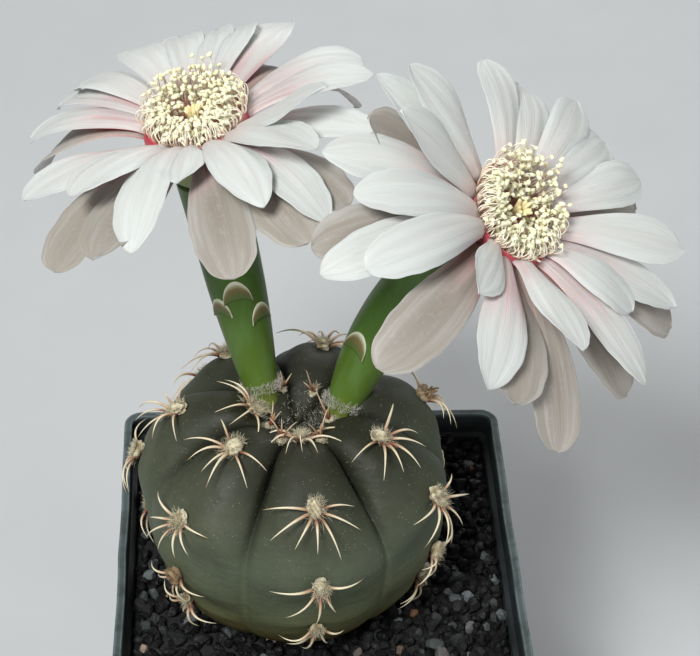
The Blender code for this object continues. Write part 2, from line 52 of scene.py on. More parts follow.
# Body (mm and degrees).
BODY = np.array([-4.5, 1.6, 84])
BODY_RADIUS, CROWN_RISE, BASE_DROP = 25.9, 17, 26.8
ROUNDNESS = (0.96, 0.55)
RIDGES = (172, 221, 277, 333, 25, 73, 125)
AREOLES = (
    (14, 47, 86, 115), (30, 70, 104, 122), (10, 47, 87, 115), (33, 72, 106, 124),
    (22, 66, 100, 121), (40, 77, 108, 124), (18, 48, 85, 113),
)
CHIN = 0.022
YOUNG = (  # crown areoles: direction, angle from the crown, size
    (245, 15, 0.66), (305, 16, 0.6), (200, 11, 0.5), (60, 13, 0.55), (350, 12, 0.5), (110, 14, 0.5),
)
BUD, SCAR = (25, 66), (221, 104)  # areoles with a withered bud and a fruit's scar
SCARRED = {SCAR: 0.8, BUD: 0.7}  # how brown their wool is
LEVEL_SPINES = (87,)  # rows whose side spines stand out level
HAIRS, LONG_HAIRS = 180, 45  # on each areole
ROOT_HAIRS, CROWN_HAIRS = 800, 400  # round each tube's foot, and over the crown
HAIR_RADII = np.array((0.034, 0.032, 0.025, 0.008))

# Flowers (mm and degrees).
FLOWERS = {
    "left": {
        "throat": (-20.6, 19.8, 143), "faces": (-0.2, 0.08, 0.976),
        "root": (-9.6, 6.6, 95), "straight": 15,
    },
    "right": {
        "throat": (27.7, 3, 138), "faces": (0.545, -0.319, 0.775),
        "root": (2.6, 3.4, 94.5), "straight": 24,
    },
}
# Each petal is (direction round the flower, length, angle from the axis at its tip).
PETALS = {
    "left": {
        "inner": (
            (72, 20, 117), (82, 20, 121), (95, 20.5, 123), (113, 20.5, 121), (135, 20, 129),
            (234, 22, 96), (252, 26, 130), (265, 14, 99), (289, 23.5, 118), (312, 22, 97),
            (325, 21, 63),
        ),
        "middle": (
            (12, 21, 115), (27, 22, 121), (61, 23.5, 114), (142, 22.5, 130), (161, 21.5, 129),
            (215, 23, 99), (305, 27, 127), (332, 23.5, 100),
        ),
        "outer": (
            (33, 24, 159), (56, 25, 164), (159, 24, 153), (232, 27, 119), (245, 25.5, 105),
            (278, 27.5, 125), (297, 26.5, 121), (312, 24.5, 119),
        ),
    },
    "right": {
        "inner": (
            (26, 21, 108), (42, 20, 118), (59, 20.5, 114), (80, 18.5, 131), (100, 18.5, 116),
            (146, 21, 95), (169, 20.5, 85), (192, 25, 119), (211, 26.5, 127), (238, 13.5, 96),
            (278, 19, 74), (329, 16.5, 107), (359, 23, 92),
        ),
        "middle": (
            (153, 22.5, 99), (179, 27, 119), (206, 30.5, 134), (255, 24.5, 108), (315, 24.5, 102),
            (343, 24, 102),
        ),
        "outer": (
            (6, 24.5, 137), (22, 25.5, 120), (166, 20, 93), (201, 28.5, 124), (233, 29, 126),
            (266, 23.5, 98), (282, 28.5, 115), (315, 25, 117), (343, 26.5, 108),
        ),
    },
}
# Whorl: radius and height of the petal's foot, angle from the axis there, and widest breadth.
WHORLS = {"inner": (8, 0, 58, 8), "middle": (8.5, -0.8, 66, 8), "outer": (8.9, -1.8, 74, 8.6)}
STAMENS = 430  # in each flower
TUBE_END = -9.9
TUBE_PROFILE = ((0, 2.3), (0.07, 3), (0.25, 4.1), (0.42, 4.7), (0.62, 5), (0.82, 5.2), (1, 5.4))
CUP_PROFILE = (
    (0, -9.6), (5.4, -9.6), (6.1, -7), (7.2, -4.6), (8.2, -2.8), (8.5, -1.6), (8.1, -0.5),
    (7.4, -0.1), (7, -1.2), (5.8, -4.4), (3.2, -7.4), (0, -7.7),
)
SCALES = {
    "left": ((0.45, 270, 4.8), (0.39, 226, 4), (0.34, 314, 4), (0.56, 80, 4.4)),
    "right": ((0.35, 222, 4.8), (0.6, 330, 4.4), (0.52, 90, 4.4)),
}

# Stage and light (m).
FLOOR_REACH, FLOOR_BEND, BEND_RADIUS, WALL_HEIGHT = 4, 0.684, 0.7, 3
LIGHT_TARGET = np.array([0, 0, 0.1])
# Camera: azimuth, elevation, roll (degrees), place (mm), focal length, photo (pixels), sensor (mm).
VIEW_ANGLES = (4.98, 42, 3.05)
CAMERA_PLACE = np.array([-15.73, -218.97, 315.36])
FOCAL_PIXELS, PHOTO_WIDTH, SENSOR_WIDTH = 1891.72, 700, 36


def add_object(name, data):
    obj = bpy.data.objects.new(name, data)
    bpy.context.scene.collection.objects.link(obj)
    return obj


class Shape:
    """Vertices, faces and per-vertex values gathered for one object, in mm."""

    def __init__(self):
        self.verts, self.faces, self.values, self.count = [], [], {}, 0

    def add(self, verts, faces, **values):
        verts = np.asarray(verts, float).reshape(-1, 3)
        self.verts.append(verts)
        self.faces.extend((np.asarray(f) + self.count).tolist() for f in faces)
        for name, value in values.items():
            row = np.broadcast_to(np.asarray(value, float), (len(verts),))
            self.values.setdefault(name, []).append(row)
        self.count += len(verts)

    def build(self, name, finish, slot, replaced=(), smooth=True):
        mesh = bpy.data.meshes.new(name)
        mesh.from_pydata((np.concatenate(self.verts) * MM).tolist(), [], self.faces)
        for value, rows in self.values.items():
            made = mesh.attributes.new(value, "FLOAT", "POINT")
            made.data.foreach_set("value", np.concatenate(rows).astype(np.float32))
        mesh.shade_smooth() if smooth else mesh.shade_flat()
        mesh.materials.append(finish)
        obj = add_object(name, mesh)
        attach(obj, "root")
        if replaced:
            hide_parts(*replaced)
        return obj


def skin_faces(rows, cols, ends=(True, True), joined=False):
    """Quads of a tube of rows by cols vertices, with flat ends where asked, or joined into a ring."""
    i = np.arange(rows if joined else rows - 1)[:, None] * cols
    j = np.arange(cols)[None, :]
    k = (j + 1) % cols
    after = (i + cols) % (rows * cols)
    faces = list(np.stack([i + j, i + k, after + k, after + j], -1).reshape(-1, 4))
    if ends[0]:
        faces.append(np.arange(cols)[::-1])
    if ends[1]:
        faces.append(np.arange(cols) + (rows - 1) * cols)
    return faces


def unit(v):
    v = np.asarray(v, float)
    return v / np.linalg.norm(v, axis=-1, keepdims=True)


def toward(first, second, angle):
    """The direction, or directions, at an angle from the first towards the second."""
    angle = np.asarray(angle)[..., None]
    return first * np.cos(angle) + second * np.sin(angle)


def crosswise(ahead):
    """Two directions across a line, the first as near to +X as it can be."""
    across = unit(np.array([1.0, 0, 0]) - ahead * ahead[..., :1])
    return across, np.cross(ahead, across)


def frames_along(points):
    """Two directions across a line of points, carried along it without twist."""
    ahead = unit(np.gradient(points, axis=0))
    across = np.empty_like(points)
    seed = np.array((0.31, 0.22, 0.92))
    for k, direction in enumerate(ahead):
        seed = seed - direction * (seed @ direction)
        if np.linalg.norm(seed) < 1e-6:
            seed = np.array([1.0, 0.2, 0.1]) - direction * direction[0]
        seed = unit(seed)
        across[k] = seed
    return across, np.cross(ahead, across)


def rings(points, across, other, radii, sides):
    """Rings of vertices round a line: one radius for each point, or for each side of it too."""
    ring = toward(across[:, None], other[:, None], math.tau * np.arange(sides) / sides)
    return points[:, None] + ring * np.reshape(radii, (len(points), -1, 1))


def rod(shape, points, radii, sides, **values):
    """A round rod through points. Its values run along it: (start, end) or one number."""
    points = np.asarray(points, float)
    rows = {}
    for name, value in values.items():
        run = np.linspace(*value, len(points)) if np.ndim(value) else np.full(len(points), value)
        rows[name] = np.repeat(run, sides)
    verts = rings(points, *frames_along(points), radii, sides)
    shape.add(verts, skin_faces(len(points), sides), **rows)


def bezier(a, b, c, steps):
    t = np.linspace(0, 1, steps)[:, None]
    return a * (1 - t) ** 2 + 2 * b * t * (1 - t) + c * t**2


def ball_mesh(subdivisions):
    """Unit ball of triangles: vertices and faces."""
    made = bmesh.new()
    bmesh.ops.create_icosphere(made, subdivisions=subdivisions, radius=1)
    verts = np.array([v.co[:] for v in made.verts])
    faces = np.array([[v.index for v in f.verts] for f in made.faces])
    made.free()
    return verts, faces


# Materials


class Finish:
    """A node material, with short calls for the nodes it uses."""

    def __init__(self, name, roughness, **sockets):
        self.material = bpy.data.materials.new(name)
        self.material.use_nodes = True
        self.tree = self.material.node_tree
        self.shader = self.tree.nodes["Principled BSDF"]
        self.normal = None
        self.feed(self.shader, Roughness=roughness, **sockets)

    def link(self, source, target):
        if hasattr(source, "is_linked"):
            self.tree.links.new(source, target)
        else:
            target.default_value = (*source, 1) if target.type == "RGBA" else source

    def feed(self, node, **inputs):
        """Links or sets a node's inputs by name, with _ in place of a space."""
        for name, source in inputs.items():
            self.link(source, node.inputs[name.replace("_", " ")])
        return node

    def node(self, kind, **inputs):
        return self.feed(self.tree.nodes.new("ShaderNode" + kind), **inputs)

    def value(self, name):
        node = self.node("Attribute")
        node.attribute_name = name
        return node.outputs["Fac"]

    def coordinates(self, stretch=None):
        place = self.node("TexCoord").outputs["Object"]
        if stretch is None:
            return place
        return self.node("Mapping", Vector=place, Scale=stretch).outputs["Vector"]

    def noise(self, scale, detail=3.0, stretch=None, rough=0.5, vector=None):
        vector = vector or self.coordinates(stretch)
        node = self.node("TexNoise", Vector=vector, Scale=scale, Detail=detail, Roughness=rough)
        return node.outputs["Fac"]

    def streaks(self, across, along, detail):
        """Noise drawn out along a petal, from the petal's own values."""
        scales = (("X", "across", across), ("Y", "along", along), ("Z", "seed", 1))
        inputs = {axis: self.times(self.value(name), scale) for axis, name, scale in scales}
        return self.noise(1, detail, vector=self.node("CombineXYZ", **inputs).outputs["Vector"])

    def cells(self, scale):
        return self.node("TexVoronoi", Vector=self.coordinates(), Scale=scale).outputs["Distance"]

    def math(self, operation, a, b=0):
        node = self.node("Math")
        node.operation = operation
        self.link(a, node.inputs[0])
        self.link(b, node.inputs[1])
        return node.outputs[0]

    def times(self, first, *others):
        for other in others:
            first = self.math("MULTIPLY", first, other)
        return first

    def plus(self, a, b):
        return self.math("ADD", a, b)

    def around(self, noise, amount):
        """Noise moved to lie evenly round zero, times an amount."""
        return self.times(self.math("SUBTRACT", noise, 0.5), amount)

    def ranged(self, source, low, high, to_low=0, to_high=1):
        """A smooth step of the source from low to high, which may fall too."""
        node = self.node("MapRange", Value=source, From_Min=low, From_Max=high)
        self.feed(node, To_Min=to_low, To_Max=to_high)
        node.interpolation_type = "SMOOTHSTEP"
        return node.outputs["Result"]

    def ramp(self, source, *stops):
        node = self.node("ValToRGB", Fac=source)
        line = node.color_ramp.elements
        while len(line) < len(stops):
            line.new(0.5)
        for element, (place, colour) in zip(line, stops):
            element.position = place
            element.color = (*colour, 1)
        return node.outputs["Color"]

    def mix(self, share, a, b):
        node = self.node("Mix")
        node.data_type = "RGBA"
        node.clamp_factor = True
        for source, socket in ((share, 0), (a, 6), (b, 7)):
            self.link(source, node.inputs[socket])
        return node.outputs[2]

    def colour(self, source):
        self.feed(self.shader, Base_Color=source)

    def roughness(self, source):
        self.feed(self.shader, Roughness=source)

    def relief(self, source, strength, distance):
        """A bump on top of the bumps so far."""
        node = self.node("Bump", Height=source, Strength=strength, Distance=distance)
        if self.normal is not None:
            self.feed(node, Normal=self.normal)
        self.normal = node.outputs["Normal"]
        self.feed(self.shader, Normal=self.normal)


def pot_finish():
    f = Finish("pot_plastic", 0.5, Specular_IOR_Level=0.3)
    dust = f.noise(90, 5, rough=0.65)
    base = f.mix(f.ranged(dust, 0.35, 0.75), (0.01, 0.012, 0.013), (0.022, 0.026, 0.028))
    # Pale grey-blue on the edges: dust and wear, and partly a painted highlight along the rounded lip.
    wear_and_highlight = f.times(f.value("edge"), f.ranged(f.noise(330, 5, rough=0.7), 0.3, 0.62, 0.35, 1))
    f.colour(f.mix(wear_and_highlight, base, (0.15, 0.2, 0.2)))
    f.roughness(f.ranged(dust, 0.3, 0.7, 0.45, 0.7))
    f.relief(f.noise(1400, 4), 0.3, 0.0001)
    f.relief(f.noise(60, 2), 0.25, 0.0005)
    return f.material


def gravel_finish():
    f = Finish("grit", 0.62, Specular_IOR_Level=0.2)
    colour = f.ramp(
        f.value("tone"),
        (0, (0.003,) * 3), (0.5, (0.006,) * 3), (0.76, (0.014, 0.015, 0.014)),
        (0.89, (0.045, 0.05, 0.05)), (0.945, (0.13, 0.145, 0.15)), (0.96, (0.085, 0.04, 0.022)),
        (0.988, (0.16, 0.08, 0.04)), (1, (0.42, 0.36, 0.29)),
    )
    speck = f.ranged(f.cells(3200), 0, 0.22, 1, 0)
    patch = f.ranged(f.noise(380, 3), 0.5, 0.72)
    f.colour(f.mix(f.times(speck, patch, 0.8), colour, (0.16, 0.18, 0.19)))
    f.roughness(f.ranged(f.noise(900, 4), 0.35, 0.65, 0.34, 0.85))
    f.relief(f.noise(1900, 5), 0.8, 0.0004)
    return f.material


def grain_finish(name, roughness, grain, distance, *stops):
    """Plain rough matter: one noise, given as scale and detail, for its colour and its relief."""
    f = Finish(name, roughness)
    noise = f.noise(*grain)
    f.colour(f.ramp(noise, *stops))
    f.relief(noise, 0.8, distance)
    return f.material


def skin_finish():
    """Grey-green skin: browner at the crown, a pale bloom with a painted sheen on the flanks, painted
    shade in the creases, olive at the foot.
    """
    f = Finish(
        "cactus_skin", 0.6, Subsurface_Weight=0.05, Subsurface_Scale=0.0015,
        Subsurface_Radius=(0.6, 1, 0.4), Specular_IOR_Level=0.28,
    )
    cloud = f.noise(140, 5, rough=0.6)
    level = f.plus(f.value("level"), f.around(cloud, 0.22))
    skin = f.ramp(
        level,
        (0, (0.018, 0.019, 0.01)), (0.2, (0.021, 0.023, 0.013)), (0.4, (0.04, 0.047, 0.028)),
        (0.58, (0.062, 0.078, 0.049)), (0.76, (0.078, 0.084, 0.038)), (0.9, (0.13, 0.096, 0.027)),
        (1, (0.15, 0.088, 0.026)),
    )
    dusty = f.ranged(f.noise(260, 6, rough=0.72), 0.3, 0.7, 0.35, 1)
    # Pale grey-green over the flanks: waxy bloom with dust, and partly a painted sheen.
    skin = f.mix(f.times(f.value("bloom"), dusty, 0.5), skin, (0.122, 0.132, 0.084))
    # Painted shade: near-black in the creases between ribs.
    skin = f.mix(f.times(f.value("crease"), 0.85), skin, (0.007, 0.008, 0.004))
    skin = f.mix(f.times(f.value("seam"), 0.45), skin, (0.115, 0.135, 0.075))
    speck = f.ranged(f.cells(1700), 0.08, 0.18, 1, 0)
    few = f.ranged(f.noise(420, 2), 0.46, 0.56)
    skin = f.mix(f.times(speck, few, 0.7), skin, (0.26, 0.27, 0.18))
    f.colour(skin)
    f.roughness(f.ranged(cloud, 0.3, 0.7, 0.52, 0.68))
    f.relief(f.noise(2600, 3), 0.22, 0.0002)
    f.relief(f.noise(420, 5, (0.35, 0.35, 2.2)), 0.22, 0.0006)
    f.relief(f.noise(170, 3), 0.3, 0.0015)
    return f.material


def wool_finish(name, *stops):
    f = Finish(name, 0.9, Sheen_Weight=0.3, Sheen_Roughness=0.5)
    # The ramp's dark end is painted shade deep in the wool and at the hair roots; the noise adds random
    # tone.
    tone = f.plus(f.value("along"), f.around(f.noise(900, 4), 0.9))
    f.colour(f.mix(f.value("stain"), f.ramp(tone, *stops), (0.2, 0.11, 0.04)))
    f.relief(f.noise(3200, 4), 0.5, 0.0003)
    return f.material


def spine_finish():
    f = Finish("spines", 0.42)
    patch = f.around(f.noise(500, 3), 0.3)
    f.colour(f.ramp(
        f.plus(f.value("along"), f.plus(patch, f.value("shift"))),
        (0, (0.11, 0.03, 0.018)), (0.12, (0.24, 0.095, 0.055)), (0.26, (0.48, 0.32, 0.2)),
        (0.45, (0.7, 0.6, 0.42)), (0.85, (0.76, 0.69, 0.5)), (1, (0.46, 0.33, 0.18)),
    ))
    f.relief(f.noise(1600, 3, (1, 1, 0.3)), 0.3, 0.0001)
    return f.material


def tube_finish():
    f = Finish(
        "flower_tube", 0.4, Subsurface_Weight=0.12, Subsurface_Scale=0.0015,
        Subsurface_Radius=(0.5, 1, 0.2), Specular_IOR_Level=0.3,
    )
    mottle = f.noise(330, 5, (1, 1, 0.3), rough=0.6)
    green = f.ramp(
        f.value("along"),
        (0, (0.13, 0.16, 0.026)), (0.1, (0.085, 0.145, 0.016)), (0.45, (0.052, 0.116, 0.014)),
        (1, (0.066, 0.13, 0.03)),
    )
    green = f.mix(f.ranged(mottle, 0.42, 0.72, 0, 0.55), green, (0.105, 0.19, 0.055))
    green = f.mix(f.ranged(f.cells(1300), 0.05, 0.14, 0.35, 0), green, (0.14, 0.24, 0.08))
    f.colour(green)
    f.roughness(f.ranged(mottle, 0.3, 0.7, 0.34, 0.5))
    f.relief(f.noise(1500, 4, (1, 1, 0.25)), 0.2, 0.0003)
    return f.material


def scale_finish():
    f = Finish("tube_scales", 0.5, Subsurface_Weight=0.1, Subsurface_Scale=0.0008)
    f.colour(f.ramp(
        f.plus(f.value("rim"), f.around(f.noise(700, 4), 0.2)),
        (0, (0.06, 0.125, 0.018)), (0.22, (0.085, 0.11, 0.025)), (0.42, (0.17, 0.115, 0.045)),
        (0.58, (0.3, 0.29, 0.16)), (0.78, (0.58, 0.6, 0.46)),
    ))
    f.relief(f.noise(1500, 3), 0.2, 0.0002)
    return f.material


def petal_finish(name, outer):
    """White blades with a pink stripe, a crimson foot and undersides painted darker as painted shade; the
    outermost are dull pink-grey.
    """
    f = Finish(
        name, 0.46, Subsurface_Weight=0.25, Subsurface_Scale=0.0012,
        Subsurface_Radius=(1, 0.8, 0.75), Sheen_Weight=0.1,
    )
    along, across, under = f.value("along"), f.value("across"), f.value("under")
    side = f.math("ABSOLUTE", across)
    fine, broad = f.streaks(16, 2.2, 4), f.streaks(4.5, 1.6, 2)
    if outer:
        body = f.mix(f.ranged(broad, 0.3, 0.7), (0.44, 0.42, 0.41), (0.6, 0.59, 0.58))
        band = f.times(f.ranged(along, 1, 0.6), f.ranged(along, 0.25, 0.5))
        stripe = f.times(f.ranged(side, 0, 0.6, 1, 0), band)
        body = f.mix(f.times(stripe, 0.9), body, (0.24, 0.175, 0.165))
        body = f.mix(f.times(f.ranged(side, 0.3, 0.85), 0.8), body, (0.68, 0.68, 0.67))
        body = f.mix(f.times(f.ranged(f.noise(1500, 3), 0.5, 0.66), 0.4), body, (0.66, 0.66, 0.65))
        body = f.mix(f.ranged(along, 0.55, 0.2, 0, 0.8), body, (0.82, 0.58, 0.59))
    else:
        body = f.mix(f.ranged(broad, 0.3, 0.7), (0.72, 0.8, 0.785), (0.8, 0.87, 0.86))
        stripe = f.times(f.ranged(side, 0, 0.55, 1, 0), f.ranged(along, 0.95, 0.3))
        body = f.mix(f.times(stripe, f.value("flush")), body, (0.8, 0.5, 0.51))
    vein = f.times(f.ranged(fine, 0.48, 0.72, 0, 0.5), f.value("flush"))
    body = f.mix(vein, body, (0.74, 0.56, 0.54))
    blush = f.value("blush")
    wander = f.plus(along, f.around(fine, 0.16))
    wander = f.plus(wander, f.times(f.math("SUBTRACT", blush, 0.55), -0.45))
    wander = f.plus(wander, f.times(side, side, -0.06))
    body = f.mix(f.times(f.ranged(wander, 0.44, 0.12), blush), body, (0.8, 0.36, 0.4))
    body = f.mix(f.times(f.ranged(wander, 0.24, 0.06), blush), body, (0.52, 0.035, 0.075))
    # Undersides painted darker: grey painted shade under the white petals, and a darker brown-grey under
    # the outer ones.
    back = (0.28, 0.25, 0.21) if outer else (0.54, 0.54, 0.52)
    body = f.mix(f.times(under, f.ranged(broad, 0.2, 0.7, 0.6, 0.95)), body, back)
    f.colour(body)
    f.roughness(f.ranged(fine, 0.3, 0.7, 0.38, 0.6))
    f.relief(fine, 0.35, 0.0003)
    f.relief(f.noise(2600, 2), 0.1, 0.0001)
    return f.material


def throat_finish():
    f = Finish("throat", 0.5, Subsurface_Weight=0.15, Subsurface_Scale=0.001)
    body = f.ramp(
        f.value("height"),
        (0, (0.14, 0.2, 0.045)), (0.28, (0.2, 0.25, 0.08)), (0.42, (0.52, 0.4, 0.33)),
        (0.47, (0.46, 0.1, 0.11)), (0.58, (0.42, 0.03, 0.055)), (0.72, (0.8, 0.44, 0.4)),
        (1, (0.76, 0.34, 0.29)),
    )
    stripe = f.ranged(f.math("SINE", f.times(f.value("turn"), 34.0)), -0.4, 0.9, 0, 0.55)
    inside = f.times(stripe, f.ranged(f.value("height"), 0.6, 0.75))
    f.colour(f.mix(inside, body, (0.74, 0.32, 0.3)))
    f.relief(f.noise(700, 3, (1, 1, 0.25)), 0.3, 0.0003)
    return f.material


def stamen_finish():
    f = Finish("stamens", 0.6, Subsurface_Weight=0.12, Subsurface_Scale=0.0006)
    thread = f.mix(f.value("shade"), (0.9, 0.7, 0.58), (0.86, 0.42, 0.36))
    colour = f.mix(f.ranged(f.value("along"), 0, 0.6), thread, (0.95, 0.88, 0.72))
    pollen = f.mix(f.ranged(f.noise(1500, 4), 0.3, 0.7), (0.88, 0.8, 0.5), (0.97, 0.95, 0.76))
    f.colour(f.mix(f.value("anther"), colour, pollen))
    f.relief(f.noise(3600, 3), 0.7, 0.0002)
    return f.material


def style_finish():
    f = Finish("style", 0.55, Subsurface_Weight=0.15, Subsurface_Scale=0.001)
    tone = f.plus(f.value("along"), f.around(f.noise(900, 3), 0.3))
    f.colour(f.mix(tone, (0.62, 0.2, 0.2), (0.86, 0.76, 0.42)))
    f.relief(f.noise(2400, 3), 0.5, 0.0002)
    return f.material


# Pot and gravel


def rounded_square(side, corner, z, wave=0.0):
    """Points round a square with round corners, whose sides bow inwards in waves."""
    inner = side / 2 - corner
    bend = math.pi / 2 * np.arange(9) / 8
    share = np.arange(1, 12) / 12
    x = np.concatenate([inner + corner * np.cos(bend), inner * (1 - 2 * share)])
    ring = []
    for quarter in range(4):
        bow = wave * np.sin(math.pi * share) * np.sin(math.tau * share * 1.5 + quarter * 1.7)
        y = np.concatenate([inner + corner * np.sin(bend), inner + corner - np.abs(bow)])
        cos, sin = math.cos(math.pi / 2 * quarter), math.sin(math.pi / 2 * quarter)
        ring.append(np.stack([x * cos - y * sin, x * sin + y * cos, np.full(len(x), z)], -1))
    return np.concatenate(ring)


def pot_side(z):
    return POT_FOOT + (POT_TOP - 2 * RIM_STEP - POT_FOOT) * z / POT_HEIGHT


def pot_corner(z):
    return FOOT_CORNER + (RIM_CORNER - FOOT_CORNER) * z / POT_HEIGHT


def make_pot():
    """The pot as one skin: out under its foot, up its side, over the lip and down inside."""
    under, high = POT_HEIGHT - RIM_DEPTH, POT_HEIGHT
    inside, lip = POT_TOP - 2 * RIM_WIDTH, RIM_CORNER - WALL
    top, rim = POT_TOP, RIM_CORNER
    # Each level: breadth, corner radius, height, waviness, and how much pale edge it gets (wear, and a
    # painted highlight along the lip).
    levels = [
        (POT_FOOT - 3, FOOT_CORNER, 0, 0, 0), (POT_FOOT - 1.2, FOOT_CORNER, 0, 0, 0.2),
        (POT_FOOT - 0.5, FOOT_CORNER, 0.2, 0, 0.3), (pot_side(0.6), FOOT_CORNER, 0.6, 0, 0.2),
    ]
    levels += [(pot_side(z), pot_corner(z), z, 0.1, 0) for z in np.linspace(6, under - 0.4, 8)]
    levels += [
        (pot_side(under) + 0.2, pot_corner(under), under - 0.1, 0.1, 0),
        (top - 1, rim, under, 0.1, 0), (top - 0.3, rim, under + 0.15, 0.15, 0.4),
        (top, rim, under + 0.5, 0.15, 0.35), (top, rim, under + 3, 0.2, 0.05),
        (top, rim, high - 0.5, 0.25, 0.25), (top - 0.1, rim, high - 0.15, 0.25, 0.8),
        (top - 0.4, rim - 0.1, high, 0.25, 0.85), (top - 1, rim - 0.3, high - 0.02, 0.25, 0.35),
        (inside + 1, lip + 0.4, high - 0.02, 0.25, 0.3), (inside + 0.35, lip + 0.1, high, 0.25, 0.7),
        (inside + 0.05, lip, high - 0.2, 0.25, 0.45), (inside, lip, high - 0.7, 0.2, 0.1),
        (inside - 0.4, lip, under + 1.6, 0.1, 0), (pot_side(under) - 2.2, lip, under + 1.2, 0, 0),
        (pot_side(under) - 2 * WALL, lip, under + 0.9, 0, 0),
        (pot_side(FLOOR) - 2 * WALL, FOOT_CORNER - WALL, FLOOR, 0, 0),
    ]
    loops = np.array([rounded_square(*level[:4]) for level in levels])
    wear_and_highlight = np.repeat([level[4] for level in levels], loops.shape[1])
    shape = Shape()
    shape.add(loops, skin_faces(*loops.shape[:2]), edge=wear_and_highlight)
    pot = shape.build("plastic_pot", pot_finish(), "pot", ["pot"])
    pot.data.set_sharp_from_angle(angle=math.radians(45))
    drains = Shape()
    for x in (-DRAIN_OFFSET, DRAIN_OFFSET):
        for y in (-DRAIN_OFFSET, DRAIN_OFFSET):
            line = np.array([(x, y, -2.0), (x, y, FLOOR + 2.0)])
            drain = rings(line, np.eye(3)[:1], np.eye(3)[1:2], [DRAIN_RADIUS] * 2, 24)
            drains.add(drain, skin_faces(2, 24))
    cutter = drains.build("drain_cutter", pot.data.materials[0], "pot")
    cut = pot.modifiers.new("drains", "BOOLEAN")
    cut.object = cutter
    cut.solver = "EXACT"
    graph = bpy.context.evaluated_depsgraph_get()
    pot.data = bpy.data.meshes.new_from_object(pot.evaluated_get(graph))
    pot.modifiers.clear()
    bpy.data.objects.remove(cutter)


def make_gravel():
    """Dark grit: a soil block, with two layers of small angular stones on it."""
    draw = np.random.default_rng(21)
    pick = draw.uniform
    under = POT_HEIGHT - RIM_DEPTH
    side = pot_side(under) - 2 * (WALL + 0.3)
    soil = Shape()
    loops = np.array([
        rounded_square(pot_side(FLOOR) - 2 * (WALL + 0.3), FOOT_CORNER - WALL, FLOOR + 0.3),
        rounded_square(side - 0.4, RIM_CORNER - WALL, under - 1),
        rounded_square(side - 0.4, RIM_CORNER - WALL, GRAVEL_LEVEL - 0.9),
    ])
    soil.add(loops, skin_faces(*loops.shape[:2]))
    dark = grain_finish("soil", 0.9, (900, 6), 0.0006, (0.3, (0.002,) * 3), (0.7, (0.01,) * 3))
    soil.build("soil", dark, "gravel")
    grit = Shape()
    ball, faces = ball_mesh(2)
    edge = side / 2
    for pitch, lift, low, high in ((1.75, 0.0, 0.75, 1.35), (2.9, 0.7, 0.75, 1.75)):
        line = np.linspace(-edge + 1.0, edge - 1.0, int(2 * edge / pitch))
        for x in line:
            for y in line:
                spot = np.array((x, y)) + pick(-0.5, 0.5, 2) * pitch
                scale = pick(low, high) * pick(0.6, 1.0, 3)
                reach = scale.max()
                spot = np.clip(spot, reach - edge - 0.2, edge + 0.2 - reach)
                if math.hypot(*(spot - BODY[:2])) < 15.6 + reach * 0.5:
                    continue
                turn = np.linalg.qr(draw.normal(size=(3, 3)))[0]
                cut = unit(draw.normal(size=(5, 3)))
                stone = ball * (1 + pick(-0.13, 0.13, (len(ball), 1)))
                for face in cut:
                    over = np.maximum(stone @ face - 0.62, 0)
                    stone = stone - over[:, None] * face
                stone = (stone * scale * 1.15) @ turn.T
                z = GRAVEL_LEVEL - 0.7 + lift + pick(-0.35, 0.35)
                tone = pick(0, 0.95) if draw.random() < 0.978 else pick(0.95, 1.0)
                grit.add(stone + (*spot, z), faces, tone=tone)
    grit.build("grit", gravel_finish(), "gravel", ["gravel"], smooth=False)


# Body


def bell(value, width):
    return np.exp(-((value / width) ** 2))


def rib_spans():
    """(ridge, half breadth before it, half breadth after it) of every rib, in degrees."""
    after = np.diff((*RIDGES, RIDGES[0])) % 360 / 2
    return list(zip(RIDGES, np.roll(after, 1), after))


def rib_at(azimuth):
    """Rib number and place across it, -1 to 1, of directions in degrees."""
    azimuth = np.asarray(azimuth, float)
    rib, place = np.zeros(azimuth.shape, int), np.zeros(azimuth.shape)
    for k, (ridge, behind, ahead) in enumerate(rib_spans()):
        offset = (azimuth - ridge + 180) % 360 - 180
        here = (offset >= -behind - 1e-6) & (offset <= ahead + 1e-6)
        rib = np.where(here, k, rib)
        place = np.where(here, offset / np.where(offset > 0, ahead, behind), place)
    return rib, place


def body_point(azimuth, polar, fine=True):
    """Points on the skin by direction and by angle down from the crown, in degrees."""
    azimuth, polar = np.broadcast_arrays(np.asarray(azimuth, float), np.asarray(polar, float))
    p, a = np.radians(polar), np.radians(azimuth)
    rib, place = rib_at(azimuth)
    depth = 0.02 + 0.2 * bell(polar - 42, 30)
    groove = depth * np.abs(place) ** 3
    wave = np.zeros(polar.shape)
    for kind, rows in enumerate(AREOLES):
        step = np.interp(polar, rows, range(len(rows)))
        chin = np.where((polar > rows[0]) & (polar < rows[-1]), np.cos(math.tau * (step - 0.08)), 0.6)
        wave = np.where(rib == kind, chin, wave)
    swell = CHIN * wave * (1 - place**2)
    if fine:
        fade = bell(polar - 44, 26)
        crease = bell(1 - np.abs(place), 0.07)
        groove = groove + crease * (0.008 + 0.05 * fade) * np.clip(polar / 12, 0, 1)
    radius = BODY_RADIUS * np.sin(p) ** np.where(polar < 90, *ROUNDNESS) * (1 - groove + swell)
    height = np.where(polar < 90, CROWN_RISE, BASE_DROP) * np.cos(p)
    height = height - CROWN_RISE * 0.9 * groove * np.maximum(0, np.cos(p))
    height = height - 6.5 * bell(polar, 17)
    return np.stack([
        BODY[0] + radius * np.cos(a), BODY[1] + radius * np.sin(a), BODY[2] + height
    ], -1)


def surface_frame(azimuth, polar):
    """Point, outward normal, downward and sideways directions on the skin."""
    here = body_point(azimuth, polar, False)
    down = unit(body_point(azimuth, polar + 3, False) - body_point(azimuth, polar - 3, False))
    a = math.radians(azimuth)
    side = np.array([-math.sin(a), math.cos(a), 0])
    normal = unit(np.cross(side, down))
    if normal @ (here - BODY + (0, 0, 8)) < 0:
        normal = -normal
    return here, normal, down, side


def areoles():
    return [(ridge, polar) for ridge, row in zip(RIDGES, AREOLES) for polar in row]


